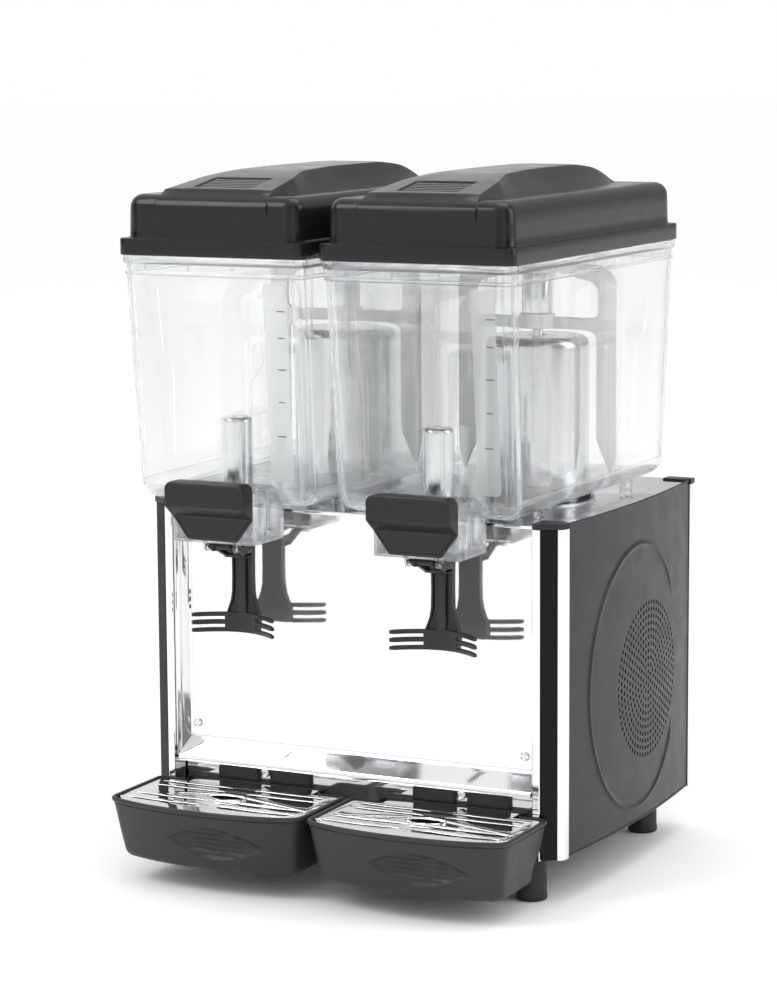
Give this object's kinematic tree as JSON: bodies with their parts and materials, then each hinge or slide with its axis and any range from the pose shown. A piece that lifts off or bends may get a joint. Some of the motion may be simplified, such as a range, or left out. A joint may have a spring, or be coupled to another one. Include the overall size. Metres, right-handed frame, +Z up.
{
  "type": "refrigerated drink dispenser",
  "caption": "Countertop chilled drink dispenser: clear bowls with lids, stirring paddles and cooling drums over a steel cabinet, with push-lever taps and drip trays.",
  "frame": {"origin": "middle of the overall box at the level the feet stand on", "axes": "+Z up, front (taps and drip trays) towards -Y, +X to the right seen from the front"},
  "size_m": [0.43, 0.4312, 0.64],
  "materials": {
    "mirror_steel": "polished stainless steel, mirror finish",
    "satin_steel": "satin stainless steel",
    "black_gloss": "moulded ABS, glossy black",
    "black_satin": "moulded ABS, satin black",
    "panel_black": "textured black side sheet",
    "rubber_black": "matt rubber",
    "clear_plastic": "clear polycarbonate",
    "white_plastic": "milky translucent plastic",
    "motor_metal": "grey enamel",
    "black_enamel": "black enamel",
    "fin_metal": "bare aluminium fins"
  },
  "bodies": {
    "cabinet": {"post_front_left": "mirror_steel", "post_cap_front_left": "black_satin", "foot_front_left": "rubber_black", "post_rear_left": "mirror_steel", "post_cap_rear_left": "black_satin", "foot_rear_left": "rubber_black", "post_insert_front_left": "black_satin", "side_panel_left": "panel_black", "panel_screw_left": "mirror_steel", "tray_screw_left": "mirror_steel", "stir_motor_left": "motor_metal", "cooling_drum_left": "satin_steel", "bowl_seal_left": "rubber_black", "post_front_right": "mirror_steel", "post_cap_front_right": "black_satin", "foot_front_right": "rubber_black", "post_rear_right": "mirror_steel", "post_cap_rear_right": "black_satin", "foot_rear_right": "rubber_black", "post_insert_front_right": "black_satin", "side_panel_right": "panel_black", "panel_screw_right": "mirror_steel", "tray_screw_right": "mirror_steel", "stir_motor_right": "motor_metal", "cooling_drum_right": "satin_steel", "bowl_seal_right": "rubber_black", "front_panel": "mirror_steel", "lower_front_panel": "mirror_steel", "base_pan": "panel_black", "top_deck": "mirror_steel", "rear_panel": "panel_black", "cord_inlet": "rubber_black", "compressor": "black_enamel", "condenser": "fin_metal", "fan_motor": "motor_metal"},
    "bowl_left": {"bowl_left": "clear_plastic", "tap_cover_left": "black_satin"},
    "lid_left": {"lid_left": "black_gloss"},
    "stirrer_left": {"stirrer_left": "white_plastic", "stirrer_tube_left": "satin_steel"},
    "drive_left": {"drive_shaft_left": "satin_steel"},
    "lever_left": {"tap_lever_left": "black_satin"},
    "plunger_left": {"tap_plunger_left": "satin_steel"},
    "tray_left": {"drip_tray_left": "black_satin"},
    "grid_left": {"drip_grid_left": "mirror_steel"},
    "bowl_right": {"bowl_right": "clear_plastic", "tap_cover_right": "black_satin"},
    "lid_right": {"lid_right": "black_gloss"},
    "stirrer_right": {"stirrer_right": "white_plastic", "stirrer_tube_right": "satin_steel"},
    "drive_right": {"drive_shaft_right": "satin_steel"},
    "lever_right": {"tap_lever_right": "black_satin"},
    "plunger_right": {"tap_plunger_right": "satin_steel"},
    "tray_right": {"drip_tray_right": "black_satin"},
    "grid_right": {"drip_grid_right": "mirror_steel"},
    "fan": {"fan": "black_satin"},
    "power_switch": {"power_switch": "black_satin"},
    "mixer_switch_left": {"mixer_switch_left": "black_satin"},
    "mixer_switch_right": {"mixer_switch_right": "black_satin"},
    "thermostat_knob": {"thermostat_knob": "black_satin"}
  },
  "joints": [
    {"name": "bowl_left_lift", "type": "slide", "parent": "cabinet", "child": "bowl_left", "axis": [0, 0, 1], "range_m": [0, 0.235]},
    {"name": "lid_left_lift", "type": "slide", "parent": "bowl_left", "child": "lid_left", "axis": [0, 0, 1], "range_m": [0, 0.12]},
    {"name": "stirrer_left_spin", "type": "hinge", "parent": "bowl_left", "child": "stirrer_left", "pos_m": [-0.1, 0.088, 0.5], "axis": [0, 0, 1], "continuous": true},
    {"name": "drive_left_spin", "type": "hinge", "parent": "cabinet", "child": "drive_left", "pos_m": [-0.1, 0.088, 0.4], "axis": [0, 0, 1], "continuous": true},
    {"name": "lever_left_push", "type": "hinge", "parent": "bowl_left", "child": "lever_left", "pos_m": [-0.1, -0.155, 0.307], "axis": [1, 0, 0], "range_deg": [0, 11], "stiffness_Nm_per_rad": 0.25, "springref_deg": -5.73},
    {"name": "plunger_left_rise", "type": "slide", "parent": "bowl_left", "child": "plunger_left", "axis": [0, 0, 1], "range_m": [0, 0.0068]},
    {"name": "tray_left_pull", "type": "slide", "parent": "cabinet", "child": "tray_left", "axis": [0, -1, 0], "range_m": [0, 0.15]},
    {"name": "grid_left_lift", "type": "slide", "parent": "tray_left", "child": "grid_left", "axis": [0, 0, 1], "range_m": [0, 0.015]},
    {"name": "bowl_right_lift", "type": "slide", "parent": "cabinet", "child": "bowl_right", "axis": [0, 0, 1], "range_m": [0, 0.235]},
    {"name": "lid_right_lift", "type": "slide", "parent": "bowl_right", "child": "lid_right", "axis": [0, 0, 1], "range_m": [0, 0.12]},
    {"name": "stirrer_right_spin", "type": "hinge", "parent": "bowl_right", "child": "stirrer_right", "pos_m": [0.1, 0.088, 0.5], "axis": [0, 0, 1], "continuous": true},
    {"name": "drive_right_spin", "type": "hinge", "parent": "cabinet", "child": "drive_right", "pos_m": [0.1, 0.088, 0.4], "axis": [0, 0, 1], "continuous": true},
    {"name": "lever_right_push", "type": "hinge", "parent": "bowl_right", "child": "lever_right", "pos_m": [0.1, -0.155, 0.307], "axis": [1, 0, 0], "range_deg": [0, 11], "stiffness_Nm_per_rad": 0.25, "springref_deg": -5.73},
    {"name": "plunger_right_rise", "type": "slide", "parent": "bowl_right", "child": "plunger_right", "axis": [0, 0, 1], "range_m": [0, 0.0068]},
    {"name": "tray_right_pull", "type": "slide", "parent": "cabinet", "child": "tray_right", "axis": [0, -1, 0], "range_m": [0, 0.15]},
    {"name": "grid_right_lift", "type": "slide", "parent": "tray_right", "child": "grid_right", "axis": [0, 0, 1], "range_m": [0, 0.015]},
    {"name": "fan_spin", "type": "hinge", "parent": "cabinet", "child": "fan", "pos_m": [0.15, 0.085, 0.169], "axis": [1, 0, 0], "continuous": true},
    {"name": "power_switch_rock", "type": "hinge", "parent": "cabinet", "child": "power_switch", "pos_m": [-0.06, 0.196, 0.292], "axis": [1, 0, 0], "range_deg": [0, 8]},
    {"name": "mixer_switch_left_rock", "type": "hinge", "parent": "cabinet", "child": "mixer_switch_left", "pos_m": [-0.02, 0.196, 0.292], "axis": [1, 0, 0], "range_deg": [0, 8]},
    {"name": "mixer_switch_right_rock", "type": "hinge", "parent": "cabinet", "child": "mixer_switch_right", "pos_m": [0.02, 0.196, 0.292], "axis": [1, 0, 0], "range_deg": [0, 8]},
    {"name": "thermostat_turn", "type": "hinge", "parent": "cabinet", "child": "thermostat_knob", "pos_m": [0.084, 0.203, 0.292], "axis": [0, 1, 0], "range_deg": [0, 270]}
  ],
  "couplings": [
    {"joint": "drive_left_spin", "follows": "stirrer_left_spin", "ratio": 1},
    {"joint": "plunger_left_rise", "follows": "lever_left_push", "m_per_rad": 0.034},
    {"joint": "drive_right_spin", "follows": "stirrer_right_spin", "ratio": 1},
    {"joint": "plunger_right_rise", "follows": "lever_right_push", "m_per_rad": 0.034}
  ]
}
